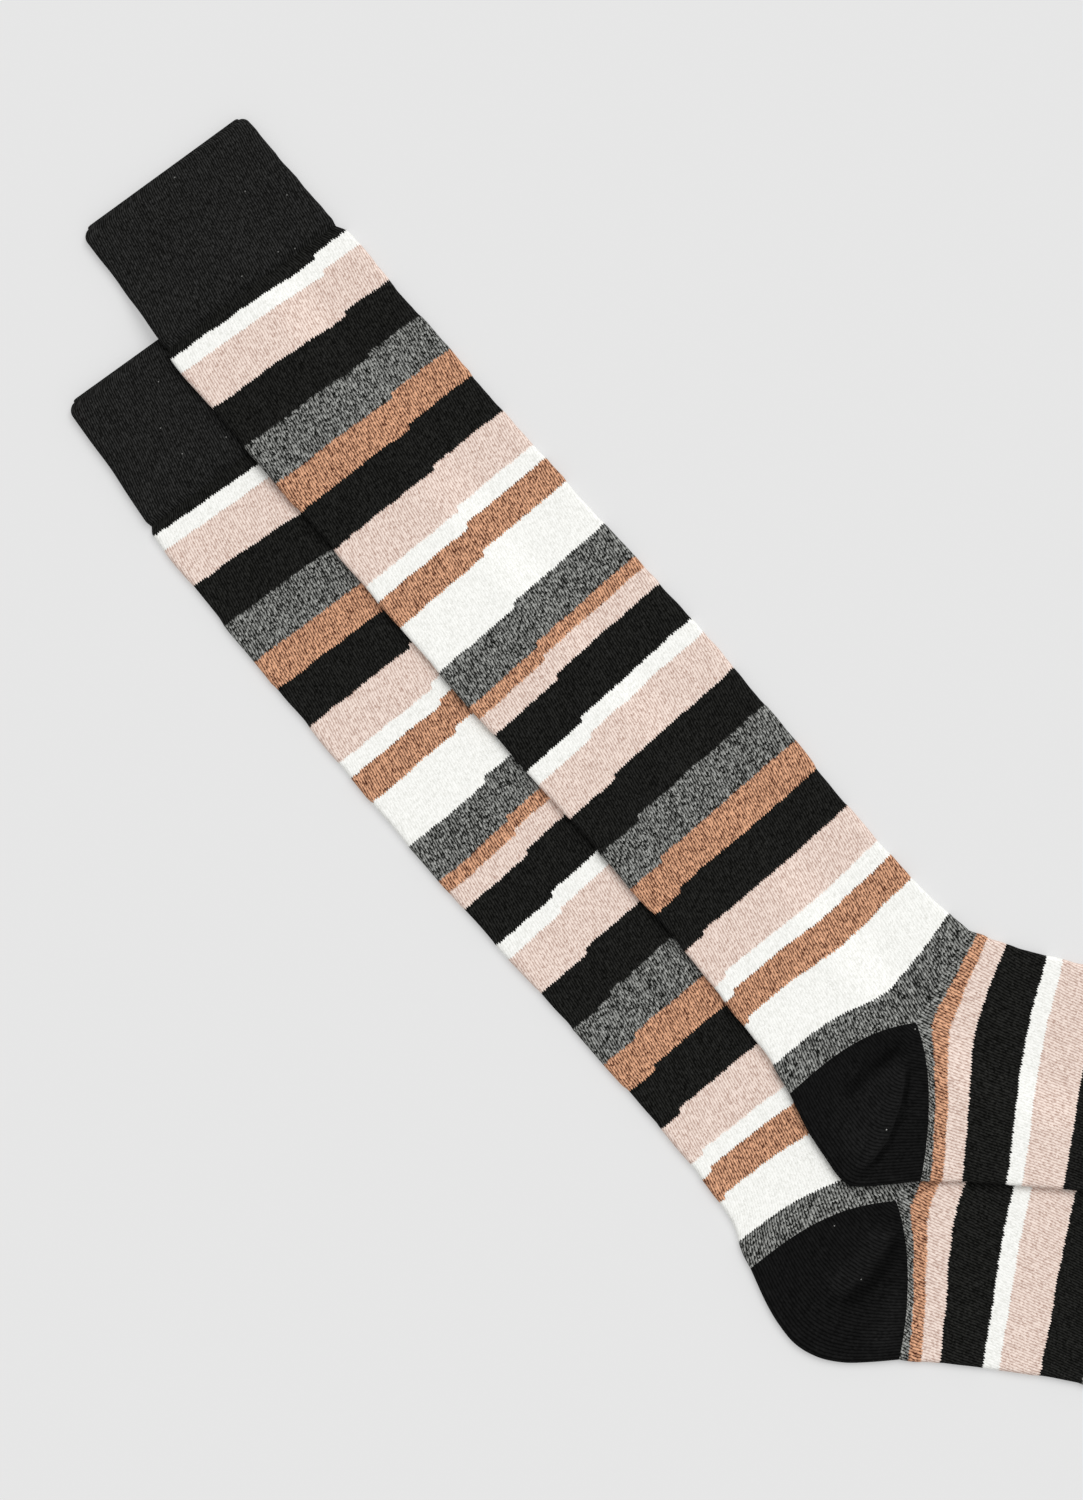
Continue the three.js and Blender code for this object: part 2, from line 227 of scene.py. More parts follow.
def toe_point(lay, fan, share):
    """The toe pocket: the same kind of fan, from the sole (0) over the tip to the instep (1)."""
    across = ((1 - np.cos(np.pi * fan)) / 2)[..., None]
    sole = course_point(lay, TOE_COURSE, share, "foot")
    instep = course_point(lay, TOE_COURSE, 1 - share * (1 - CORNER_SHARE) / CORNER_SHARE, "foot")
    ahead = foot_point(lay, 1.0, 0.0) - foot_point(lay, 0.0, 0.0)
    swell = TOE_LENGTH * np.sin(np.pi * fan) * (1 - share / CORNER_SHARE)
    return sole + (instep - sole) * across + ahead * swell[..., None]


def laid(lay, point):
    """A sock's own plane laid on the surface: turned about the heel's corner, then moved."""
    sin, cos = math.sin(lay["turn"]), math.cos(lay["turn"])
    x, y = point[..., 0] - CORNER[0], point[..., 1] - CORNER[1]
    dx, dy = lay["shift"]
    return np.stack([CORNER[0] + dx + x * cos - y * sin, CORNER[1] + dy + x * sin + y * cos], -1)


def outline(lay):
    """The sock's edge as seen from above, once round from the cuff's back corner."""
    leg, foot = np.linspace(CUFF_TOP, HEEL_COURSE, 150), np.linspace(HEEL_COURSE, TOE_COURSE, 50)
    fan = np.linspace(0, 1, 25)
    at_fold = np.zeros_like(fan)
    (back, front), (sole, instep) = folds(lay, leg, "leg"), folds(lay, foot, "foot")
    heel, toe = heel_point(lay, fan, at_fold), toe_point(lay, fan, at_fold)
    return laid(lay, np.concatenate([back, heel, sole, toe, instep[::-1], front[::-1]]))


both = np.concatenate([outline(UPPER), outline(LOWER)])
PLACE = -(both.min(0) + both.max(0)) / 2
covered = (both.max(0) - both.min(0)).round(1)
print("the pair covers", covered, "mm, and moves by", PLACE.round(2), "to its place")

# %% [markdown]
# ## One sock over the other
#
# The upper sock rests on the lower one and comes down to the surface on its far side, in a soft
# slope, because fine knitting is limp but not paper-thin. Its height at a point depends only on
# how far that point is outside the lower sock's outline, and on how uneven the lower sock is.

# %% The height at which a sock lies
RAMP_START, RAMP = 5, 20
CUFF_DELAY, CUFF_EASING = 8, 16
lower_edge = outline(LOWER)
lower_cuff_end = laid(LOWER, folds(LOWER, CUFF_END, "leg")[1])[1]


def smooth(x):
    """A smooth step: 0 below 0, 1 above 1, and level at both ends."""
    x = np.clip(x, 0, 1)
    return x * x * (3 - 2 * x)


def outside(edge, point):
    """How far each point is outside a closed outline, and 0 inside it: the distance to the nearest
    side, where a ray to the right crosses the outline an even number of times."""
    a, b = edge, np.roll(edge, -1, 0)
    side = b - a
    far = np.empty(len(point))
    for start in range(0, len(point), 4000):
        p = point[start : start + 4000, None]
        t = (((p - a) * side).sum(-1) / np.maximum((side**2).sum(-1), 1e-9)).clip(0, 1)
        near = np.linalg.norm(p - a - side * t[..., None], axis=-1).min(1)
        spans = (a[:, 1] > p[..., 1]) != (b[:, 1] > p[..., 1])
        rise = np.where(side[:, 1] == 0, 1e-9, side[:, 1])
        crossed = spans & (p[..., 0] < a[:, 0] + side[:, 0] * (p[..., 1] - a[:, 1]) / rise)
        far[start : start + 4000] = np.where(crossed.sum(1) % 2 == 1, 0, near)
    return far


def lie_height(lay, point):
    """0 for the lower sock. For the upper one, the lower one's thickness and relief with a small
    gap, then half a cosine down to the surface."""
    if lay is LOWER:
        return np.zeros(point.shape[:-1])
    flat = point.reshape(-1, 2)
    below = smooth((lower_cuff_end - CUFF_DELAY - flat[:, 1]) / CUFF_EASING)
    thick = CUFF_THICK + (LEG_THICK - CUFF_THICK) * below
    top = thick + LIE_GAP + np.maximum(top_rise(LOWER, flat), 0)
    down = np.clip((outside(lower_edge, flat) - RAMP_START) / RAMP, 0, 1)
    return (top * (0.5 + 0.5 * np.cos(np.pi * down))).reshape(point.shape[:-1])


print("the lower sock's outline has", len(lower_edge), "points")

# %% [markdown]
# ## The stripe repeat
#
# Five yarns make the stripes: off-white, pale pink, black, grey marl and copper melange. The
# machine knits a set number of courses with each, and after 285 courses it starts again. The
# heel stops the count, and the foot goes on with it. The marl and copper yarns are the fullest,
# so their stripes stand out a little at the folds.

# %% Count out the stripes
STRIPES = [  # courses knitted with each yarn, once through the repeat
    ("white", 10), ("pink", 25), ("black", 27), ("grey", 24), ("copper", 19),
    ("black", 27), ("pink", 24), ("white", 10), ("copper", 17), ("white", 31),
    ("grey", 25), ("copper", 8), ("pink", 12), ("black", 26),
]
REPEAT = sum(count for _, count in STRIPES)
STAND_OUT = {"white": 0.0, "pink": 0.05, "black": -0.25, "grey": 0.25, "copper": 0.3}
push = np.repeat([STAND_OUT[yarn] for yarn, _ in STRIPES], [count for _, count in STRIPES])
for _ in range(3):
    push = (np.roll(push, 1) + 2 * push + np.roll(push, -1)) / 4
print("stripe repeat:", REPEAT, "courses,", round(REPEAT * COURSE), "mm")

CUFF_CORNERS = (3.6, 2.8)  # radii at the back and front folds
PUSH_FADE = 12
FOLD_WANDER, FOLD_WANDER_LONGEST = 0.3, 34.0
NIP, NIP_COURSES = 0.6, 2.0


def uneven(place, seed, longest, terms=7):
    """A gentle wave between -1 and 1 at each place in mm: a sum of sines, whose lengths and phases
    come from a seeded generator."""
    random = np.random.default_rng(seed)
    lengths = longest * random.uniform(0.18, 1, terms)
    phases = random.uniform(0, 2 * np.pi, terms)
    heights = random.uniform(0.5, 1, terms) * (lengths / longest) ** 0.5
    waves = heights * np.sin(2 * np.pi * np.asarray(place, float)[..., None] / lengths + phases)
    return waves.sum(-1) / heights.sum()


def fold_push(lay, course, side):
    """How far a fold lies beyond its table's line: the yarn's own fullness, a wandering tension,
    the cuff's top corners, which are quarter circles, and a nip where the cuff ends. The pockets
    have no push, so it fades out beside them."""
    yarn = push[int(course) % REPEAT] if course > CUFF_END else 0
    wander = FOLD_WANDER * uneven(course * COURSE, lay["seed"] + side, FOLD_WANDER_LONGEST)
    beside = smooth((TOE_COURSE - course) / PUSH_FADE)
    if side == 0:
        beside = beside * smooth(abs(course - HEEL_COURSE) / PUSH_FADE)
    size = CUFF_CORNERS[side]
    from_top = np.clip((course - CUFF_TOP) * COURSE, 0.02, size)
    corner = size - math.sqrt(size**2 - (size - from_top) ** 2)
    nip = NIP * math.exp(-(((course - CUFF_END) / NIP_COURSES) ** 2))
    return (yarn + wander) * beside - corner - nip


# %% [markdown]
# ## Creases
#
# A heel pocket is a cup, so it can't lie quite flat. Each heel in the picture has one curved
# crease where the cup folds over itself, with hollows beside it. We draw each crease as a line,
# and give it a profile of a few uneven waves: a flap that stands up sharply on one side and falls
# away softly on the other, a narrow groove under its edge, and a hollow. The toes get similar,
# weaker ones, and so does the underside, where the cloth may only lift.

# %% Place the creases
def toe_line(lay, *places):
    """A line on the laid sock, from places along and across its foot."""
    return laid(lay, np.array([foot_point(lay, along, across) for along, across in places]))


# Each crease is a line, and waves beside it: their height, how far to the right of the line they
# lie, and how wide they are on their left and right, all in mm.
CREASES = {
    "upper": [
        (np.array([
            (-2.5, -417.0), (-6.0, -421.3), (-16.6, -430.2),
            (-28.4, -436.6), (-38.5, -438.8), (-48.0, -440.2),
        ]), [(2.6, 1.9, 1.5, 8.0), (-1.4, -0.6, 1.0, 0.9), (1.0, 12.0, 12.0, 14.0)]),
        (np.array([
            (1.0, -412.5), (-5.0, -414.0), (-12.1, -414.0),
            (-19.1, -413.7), (-26.0, -414.1), (-33.0, -415.6),
        ]), [(-1.8, 0.0, 1.8, 3.0)]),
        (
            toe_line(UPPER, (171, -9), (180, -14), (190, -21), (199, -25)),
            [(1.4, 1.5, 1.4, 7.0), (-0.6, -0.4, 0.9, 0.9)],
        ),
    ],
    "lower": [
        (np.array([
            (-45.0, -461.0), (-49.2, -463.8), (-56.9, -466.7),
            (-66.2, -469.1), (-76.4, -468.8), (-84.0, -469.6),
        ]), [(2.8, 2.4, 2.0, 6.0), (-1.4, -2.4, 3.2, 1.6)]),
        (
            np.array([(-58.0, -482.0), (-66.0, -484.0), (-76.0, -489.0), (-86.0, -490.0)]),
            [(1.6, 0.0, 5.0, 5.0)],
        ),
        (
            toe_line(LOWER, (172, -13), (182, -16), (191, -20), (201, -28)),
            [(1.2, 1.5, 1.4, 7.0), (-0.6, -0.4, 0.9, 0.9)],
        ),
    ],
}
UNDER_SHARE = 0.3
print("creases:", {name: len(creases) for name, creases in CREASES.items()})


# %% [markdown]
# ## From creases to relief
#
# Sculpting would give each crease once, and only on one mesh. A formula gives the same relief to
# the leg, the heel and the sock that lies on top, so neighbouring pieces still meet. A broad,
# shallow unevenness is added, because no cloth lies like a board.

# %% The relief that creases make
def crease_height(point, line, waves):
    """The sum of the waves, each a bell curve with two widths across the line. Together they fade
    to nothing over the line's first and last quarter."""
    a, side = line[:-1], np.diff(line, axis=0)
    length = np.linalg.norm(side, axis=1)
    offset = point[..., None, :] - a
    t = ((offset * side).sum(-1) / length**2).clip(0, 1)
    away = offset - side * t[..., None]
    far = np.linalg.norm(away, axis=-1)
    pick = far.argmin(-1)[..., None]
    near = np.take_along_axis(far, pick, -1)[..., 0]
    turn = side[:, 1] * offset[..., 0] - side[:, 0] * offset[..., 1]
    to_right = near * np.sign(np.take_along_axis(turn, pick, -1)[..., 0])
    passed = (np.cumsum(length) - length + length * t) / length.sum()
    run = np.take_along_axis(passed, pick, -1)[..., 0]
    fade = smooth(run / 0.25) * smooth((1 - run) / 0.25)
    total = 0
    for height, aside, left, right in waves:
        off = to_right - aside
        total = total + height * np.exp(-((off / np.where(off > 0, right, left)) ** 2))
    return fade * total


def swell(point, seed):
    """A broad, shallow unevenness from -1 to 1: three waves across the sheet, each along its own
    seeded direction."""
    random = np.random.default_rng(seed)
    total = 0
    for _ in range(3):
        angle, turned = random.uniform(0, np.pi), int(random.integers(1000))
        along = point[..., 0] * math.cos(angle) + point[..., 1] * math.sin(angle)
        total = total + uneven(along, turned, SWELL_LONGEST)
    return total / 3


SWELL, SWELL_LONGEST = 0.15, 60.0
MOST_SINK = 0.5


def creases_at(lay, flat):
    """The height of all of a sock's creases together."""
    return sum(crease_height(flat, line, waves) for line, waves in CREASES[lay["name"]])


def top_rise(lay, flat):
    """How much the creases and the swell raise a sock's upper face. Nowhere does it sink by more
    than the space inside the tube."""
    return np.maximum(creases_at(lay, flat) + SWELL * swell(flat, lay["seed"]), -MOST_SINK)


def relief(lay, points, half, radius):
    """The height to add at each point: the whole rise on the upper face, nothing at the folds, and
    a share of it on the underside, which only lifts."""
    up = ((points[..., 2] - half) / radius).clip(-1, 1)
    top = top_rise(lay, points[..., :2])
    return np.where(up > 0, top * smooth(up), UNDER_SHARE * top.clip(0) * smooth(-up))


heel_crease = CREASES["lower"][0][0]
print("relief along the lower heel's crease:", top_rise(LOWER, heel_crease).round(2), "mm")

# %% [markdown]
# ## A wall of cloth
#
# A flattened tube has a top, an underside and two rounded folds. Its wall has an outer and an
# inner face. We could thicken a single sheet with a modifier, but here both faces come from one
# grid: down the outside, round the end, back up the inside, and closed again.

# %% Make a mesh from a grid that closes on itself
MERGE_WITHIN = 2e-7  # in metres
SHARP_FROM = math.radians(50)


def cloth_mesh(name, points, chart, fold, ring, material):
    """points is a grid of places in mm, rows by columns. The last row joins the first one, and on
    a ring the last column joins the first. chart holds each corner's wale and course, and has one
    column more than points on a ring. fold is the height of the creases at each point."""
    rows, columns = points.shape[:2]
    spans = columns if ring else columns - 1
    r, c = (k.ravel() for k in np.meshgrid(np.arange(rows), np.arange(spans), indexing="ij"))
    r2, c2 = (r + 1) % rows, c + 1
    corners = [(r, c), (r2, c), (r2, c2), (r, c2)]
    faces = np.stack([row * columns + column % columns for row, column in corners], -1)
    uv = np.stack([chart[row, column] for row, column in corners], 1).reshape(-1, 2)
    mesh = bpy.data.meshes.new(name)
    place = np.array([*PLACE, 0])
    mesh.from_pydata(((points + place).reshape(-1, 3) * MM).tolist(), [], faces.tolist())
    mesh.uv_layers.new(name="Stitches").data.foreach_set("uv", uv.astype(np.float32).ravel())
    # The crease heights are kept on the points, for the materials to paint light and shade from them.
    crease = mesh.attributes.new("Fold", "FLOAT", "POINT")
    crease.data.foreach_set("value", fold.astype(np.float32).ravel())
    build = bmesh.new()
    build.from_mesh(mesh)
    bmesh.ops.remove_doubles(build, verts=build.verts, dist=MERGE_WITHIN)
    build.to_mesh(mesh)
    build.free()
    mesh.polygons.foreach_set("use_smooth", np.ones(len(mesh.polygons), bool))
    mesh.set_sharp_from_angle(angle=SHARP_FROM)
    piece = bpy.data.objects.new(name, mesh)
    bpy.context.scene.collection.objects.link(piece)
    mesh.materials.append(material)
    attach(piece, "root")
    return piece


# %% [markdown]
# ## A flattened tube
#
# The leg is knitted as a tube and lies flat, so its section is a long loop: level on top, level
# underneath, and round at both folds. We lay one such loop every few courses. The cuff's loops
# are thicker, because the cloth is double there.

# %% The section, and the tube along it
TOP_STEPS, FOLD_STEPS, UNDER_STEPS = 48, 8, 16
CUFF_DROP = 3.5  # courses over which the cuff thins to the leg
PUFF, PUFF_ABOVE, PUFF_COURSES = 0.05, 7, 3.0
GROOVE, GROOVE_COURSES = 0.3, 1.5
SKEW = 0.135  # wales that pass a straight line down the leg in each course


def loop_round(width, half, radius):
    """Once round a flattened tube, from the middle of the back fold over the top: the distance
    across, the height, and the share of the way round from 0 to 2, by length along the loop."""
    reach = width - 2 * half
    quarter = np.linspace(0, np.pi / 2, FOLD_STEPS // 2 + 1)
    bend = half * np.pi / 2
    part = quarter / quarter[-1]
    over = np.linspace(0, 1, TOP_STEPS + 1)[1:-1]
    under = np.linspace(0, 1, UNDER_STEPS + 1)[1:-1]
    one = np.ones_like
    across = np.concatenate([
        half - radius * np.cos(quarter),
        half + reach * over,
        width - half + radius * np.sin(quarter),
        width - half + radius * np.cos(quarter[1:]),
        width - half - reach * under,
        half - radius * np.sin(quarter[:-1]),
    ])
    height = np.concatenate([
        half + radius * np.sin(quarter),
        (half + radius) * one(over),
        half + radius * np.cos(quarter),
        half - radius * np.sin(quarter[1:]),
        (half - radius) * one(under),
        half - radius * np.cos(quarter[:-1]),
    ])
    run = np.concatenate([
        bend * part,
        bend + reach * over,
        bend + reach + bend * part,
        2 * bend + reach + bend * part[1:],
        3 * bend + reach + reach * under,
        3 * bend + 2 * reach + bend * part[:-1],
    ])
    return across, height, run / (2 * bend + reach)


def half_thick(course):
    """Half of the tube's thickness: the double cuff is thicker, puffs up before its end, and
    drops into a narrow groove where the single cloth starts."""
    cuff = (CUFF_THICK - LEG_THICK) / 2 * float(smooth((CUFF_END - course) / CUFF_DROP))
    puff = PUFF * math.exp(-(((course - CUFF_END + PUFF_ABOVE) / PUFF_COURSES) ** 2))
    groove = GROOVE * math.exp(-(((course - CUFF_END) / GROOVE_COURSES) ** 2))
    return LEG_THICK / 2 + cuff + puff - groove


def tube(lay, kind, part, stations, material):
    """A stretch of the tube. stations lists each course with how deep it lies in the wall, down
    the outside and up the inside."""
    points, chart, halves, radii = [], [], [], []
    for course, deep in stations:
        half = half_thick(course)
        back, front = folds(lay, course, part)
        width = np.hypot(*(front - back))
        start, end = -fold_push(lay, course, 0), width + fold_push(lay, course, 1)
        across, height, way = loop_round(end - start, half, half - deep)
        flat = laid(lay, course_point(lay, course, (start + across) / width, part))
        points.append(np.column_stack([flat, height]))
        chart.append(np.column_stack([WALES_FLAT * np.append(way, 2), np.full(len(way) + 1, course)]))
        halves.append(half)
        radii.append(half - deep)
    points, chart = np.array(points), np.array(chart)
    chart[..., 0] += SKEW * chart[..., 1] + lay["turns"] * WALES_ROUND
    rise = relief(lay, points, np.array(halves)[:, None], np.array(radii)[:, None])
    points[..., 2] += rise + lie_height(lay, points[..., :2])
    fold = creases_at(lay, points[..., :2])
    return cloth_mesh(f"{lay['name']}_{kind}_cloth", points, chart, fold, True, material)


# %% [markdown]
# ## Yarn and stitches
#
# Marl and melange yarns are spun from mixed fibres, so each loop is a little lighter or darker.
# The stitches are far too small to model one by one on a whole sock, so a shader draws them from
# wale and course: a V in each cell, with painted shade in the groove between neighbours, which
# gives the cloth its fine lines along the leg. Several materials use it, so it is a node group.

# %% Helpers for shader nodes
def wire(tree, value, socket):
    """Joins a socket to another, or sets it to a number or colour."""
    if isinstance(value, bpy.types.NodeSocket):
        tree.links.new(value, socket)
    else:
        socket.default_value = value


def calculate(tree, operation, *values, clamp=False):
    """The output of a math node on these values."""
    node = tree.nodes.new("ShaderNodeMath")
    node.operation, node.use_clamp = operation, clamp
    for value, socket in zip(values, node.inputs):
        wire(tree, value, socket)
    return node.outputs[0]


def blend_colour(tree, share, first, second, way="MIX"):
    """Two colours mixed, with this share of the second one."""
    node = tree.nodes.new("ShaderNodeMix")
    node.data_type, node.blend_type = "RGBA", way
    for value, key in ((share, 0), (first, 6), (second, 7)):
        wire(tree, value, node.inputs[key])
    return node.outputs[2]


def vector(tree, x, y, z=0.0):
    """Three values joined into one vector."""
    node = tree.nodes.new("ShaderNodeCombineXYZ")
    for value, socket in zip((x, y, z), node.inputs):
        wire(tree, value, socket)
    return node.outputs[0]


def split(tree, place):
    """The three outputs of a vector taken apart."""
    node = tree.nodes.new("ShaderNodeSeparateXYZ")
    wire(tree, place, node.inputs[0])
    return node.outputs


def noise(tree, place, scale, detail=2.0):
    """A random value from 0 to 1 that changes slowly from place to place."""
    node = tree.nodes.new("ShaderNodeTexNoise")
    wire(tree, place, node.inputs["Vector"])
    node.inputs["Scale"].default_value = scale
    node.inputs["Detail"].default_value = detail
    return node.outputs["Fac"]


def chance(tree, x, y):
    """A random number from 0 to 1 for each pair of whole numbers."""
    node = tree.nodes.new("ShaderNodeTexWhiteNoise")
    node.noise_dimensions = "2D"
    wire(tree, vector(tree, x, y), node.inputs["Vector"])
    return node.outputs["Value"]


def new_group(name, takes, gives):
    """An empty node group with number sockets, and its two end nodes."""
    tree = bpy.data.node_groups.new(name, "ShaderNodeTree")
    for socket in takes:
        tree.interface.new_socket(socket, in_out="INPUT", socket_type="NodeSocketFloat")
    for socket in gives:
        tree.interface.new_socket(socket, in_out="OUTPUT", socket_type="NodeSocketFloat")
    return tree, tree.nodes.new("NodeGroupInput").outputs, tree.nodes.new("NodeGroupOutput").inputs


def use_group(tree, group, **values):
    """A group put into a tree with these inputs: its outputs."""
    node = tree.nodes.new("ShaderNodeGroup")
    node.node_tree = group
    for name, value in values.items():
        wire(tree, value, node.inputs[name])
    return node.outputs


def linear(colour):
    """A screen colour from 0 to 255 as the light it stands for, from 0 to 1."""
    c = np.array(colour) / 255
    return (*np.where(c <= 0.04045, c / 12.92, ((c + 0.055) / 1.055) ** 2.4), 1.0)


print("a screen value of 128 is", round(linear((128, 128, 128))[0], 3), "in linear light")

# %% [markdown]
# ## The stitch pattern
#
# A plain stitch looks like a V, with one leg on each side of its wale. This pair has nearly
# three hundred thousand of them, each a pixel or two wide from here. So the V is only a rise of
# the course number away from the middle of the wale, and a light bump follows it.

# %% The stitch group
STITCH_SLANT = 1.1
WALE_DIP, COURSE_DIP = 0.75, 0.45
LEG_SHARE, FIBRE_SCALE = 0.6, 0.7


def make_stitches():
    """Row: the course that a point's loop belongs to, which rises and falls by the V in each wale.
    Groove: 0 on the middle of a wale, 1 between two. Relief: high on a yarn, low between wales and
    between courses. Chance: a mean of one number per leg of a loop and one per whole loop, of
    which the leg's counts for more. Fibre: softer variation on the yarn."""
    gives = ["Row", "Groove", "Relief", "Chance", "Fibre"]
    tree, take, give = new_group("Stitches", ["Wale", "Course"], gives)
    across = calculate(tree, "FRACT", take["Wale"])
    aside = calculate(tree, "ABSOLUTE", calculate(tree, "MULTIPLY_ADD", across, 2.0, -1.0))
    rise = calculate(tree, "MULTIPLY_ADD", aside, STITCH_SLANT, take["Course"])
    row = calculate(tree, "FLOOR", rise)
    hump = calculate(tree, "MULTIPLY", calculate(tree, "FRACT", rise), math.pi)
    hump = calculate(tree, "SINE", hump)
    groove = calculate(tree, "POWER", aside, 2.0)
    ridge = calculate(tree, "MULTIPLY_ADD", groove, -WALE_DIP, 1.0)
    yarn = calculate(tree, "MULTIPLY_ADD", hump, COURSE_DIP, 1 - COURSE_DIP)
    wire(tree, row, give["Row"])
    wire(tree, groove, give["Groove"])
    wire(tree, calculate(tree, "MULTIPLY", ridge, yarn), give["Relief"])
    leg = calculate(tree, "FLOOR", calculate(tree, "MULTIPLY", take["Wale"], 2.0))
    each, both = chance(tree, leg, row), chance(tree, row, calculate(tree, "FLOOR", take["Wale"]))
    loops = calculate(tree, "MULTIPLY", both, 1 - LEG_SHARE)
    mean = calculate(tree, "MULTIPLY_ADD", each, LEG_SHARE, loops)
    wire(tree, mean, give["Chance"])
    wire(tree, noise(tree, vector(tree, take["Wale"], take["Course"]), FIBRE_SCALE), give["Fibre"])
    return tree


stitches = make_stitches()
print("stitch group:", len(stitches.nodes), "nodes")


# %% [markdown]
# ## Lint
#
# Dark cloth picks up a few pale fibre ends. They could be tiny meshes, but a net of random cells
# in the shader gives the same specks at no cost, and how rare they are is a single number.

# %% The lint group
LINT_PER_METRE = 190.0
LINT_RARE, LINT_RADIUS = 0.965, 0.045
LINT_COLOUR = (190, 190, 186)


def make_lint():
    """Lint: 1 on a few small specks, and 0 elsewhere. Cells of a random net are picked by chance,
    and each speck is a disc about its cell's point."""
    tree, take, give = new_group("Lint", ["X", "Y"], ["Lint"])
    net = tree.nodes.new("ShaderNodeTexVoronoi")
    net.voronoi_dimensions = "2D"
    net.inputs["Scale"].default_value = 1.0
    wire(tree, vector(tree, take["X"], take["Y"]), net.inputs["Vector"])
    picked = calculate(tree, "GREATER_THAN", split(tree, net.outputs["Color"])[0], LINT_RARE)
    disc = calculate(tree, "LESS_THAN", net.outputs["Distance"], LINT_RADIUS)
    wire(tree, calculate(tree, "MULTIPLY", picked, disc), give["Lint"])
    return tree


lint = make_lint()
print("lint group:", len(lint.nodes), "nodes")

# %% [markdown]
# ## The yarns' colours
#
# Each yarn has the colour of its loops' crests and a darker colour between them. Three numbers say
# how much of the second one there is: everywhere and by chance from loop to loop, as the yarn's own
# darker fibres, and in the grooves between wales, as painted shade. The marl varies most. The
# off-white's two colours are close, so it looks even.

# %% Mix the yarns
# For each yarn, the crest's and the groove's screen colours, and the groove colour's three shares:
# everywhere, in the grooves as painted shade, and by chance.
YARNS = {
    "white": ((255, 255, 251), (222, 222, 216), (0.27, 0.45, 0.9)),
    "pink": ((248, 230, 219), (176, 144, 130), (0.34, 0.80, 0.95)),
    "black": ((46, 46, 44), (7, 7, 6), (0.69, 0.85, 0.85)),
    "grey": ((174, 175, 171), (18, 19, 17), (0.75, 0.85, 1.35)),
    "copper": ((238, 181, 144), (64, 24, 13), (0.50, 0.85, 1.1)),
    "cuff black": ((64, 64, 63), (12, 12, 11), (0.81, 0.80, 0.70)),
    "heel black": ((32, 32, 32), (7, 7, 7), (0.70, 0.60, 0.5)),
}
JOG_WALE = 67.2  # where each round of knitting starts
JOG_COURSES = 2.6


def stripe_ramp(tree, place, pick):
    """A colour ramp with one flat stop a stripe."""
    node = tree.nodes.new("ShaderNodeValToRGB")
    node.color_ramp.interpolation = "CONSTANT"
    stops = node.color_ramp.elements
    stops.remove(stops[1])
    start = 0
    for k, (yarn, count) in enumerate(STRIPES):
        stop = stops[0] if k == 0 else stops.new(start / REPEAT)
        stop.color = pick(YARNS[yarn])
        start += count
    wire(tree, place, node.inputs["Fac"])
    return node.outputs["Color"]


def striped(tree, row):
    """Crest colour, groove colour and the three shares, looked up by the loop's course."""
    middle = calculate(tree, "ADD", row, 0.5)
    place = calculate(tree, "FRACT", calculate(tree, "DIVIDE", middle, REPEAT))
    shares = split(tree, stripe_ramp(tree, place, lambda yarn: (*yarn[2], 1)))
    crest = stripe_ramp(tree, place, lambda yarn: linear(yarn[0]))
    return crest, stripe_ramp(tree, place, lambda yarn: linear(yarn[1])), shares


def plain(yarn):
    """The same three things for cloth of a single yarn."""
    crest, groove, shares = YARNS[yarn]
    return lambda tree, row: (linear(crest), linear(groove), shares)


print("yarns:", ", ".join(YARNS))

# %% [markdown]
# ## The knit materials
#
# Each round of knitting climbs a little, as a screw thread does, so a new colour starts two or
# three courses beside the place where it ends. That small step shows at every stripe, down one
# slanting wale. The stripe's edge also wanders slightly, because no two stitches pull alike.

# %% Make the knit materials
WANDER_COURSES, WANDER_PER_METRE = 2.4, 75.0
PULL_COURSES, PULLS_PER_COURSE = 0.8, 0.11


def wandering(tree, place, wale, course):
    """The course that a point's loop belongs to once the knitting has strayed: by the climb of the
    round, by a slow wander over the cloth, and by a different pull in each few loops of a wale."""
    wander = calculate(tree, "ADD", noise(tree, place, WANDER_PER_METRE), -0.5)
    wander = calculate(tree, "MULTIPLY", wander, WANDER_COURSES)
    stretch = calculate(tree, "FLOOR", calculate(tree, "MULTIPLY", course, PULLS_PER_COURSE))
    own = calculate(tree, "ADD", chance(tree, calculate(tree, "FLOOR", wale), stretch), -0.5)
    own = calculate(tree, "MULTIPLY", own, PULL_COURSES)
    from_start = calculate(tree, "SUBTRACT", wale, JOG_WALE)
    turn = calculate(tree, "FRACT", calculate(tree, "DIVIDE", from_start, WALES_ROUND))
    climb = calculate(tree, "MULTIPLY_ADD", turn, -JOG_COURSES, calculate(tree, "ADD", wander, own))
    return calculate(tree, "ADD", course, climb)


# How far the crease height counts, and how strongly it paints light on a crease's crest and shade in
# its groove.
FOLD_FULL, FOLD_PAINTED_SHADING = 1.6, 0.5
GROOVE_MEAN = 0.33
BUMP_STRENGTH, BUMP_DEEP = 0.3, 0.3 * MM
SPECULAR, SHEEN, SHEEN_ROUGHNESS = 0.04, 0.02, 0.4
ROUGH_LEAST, ROUGH_SPREAD = 0.86, 0.12


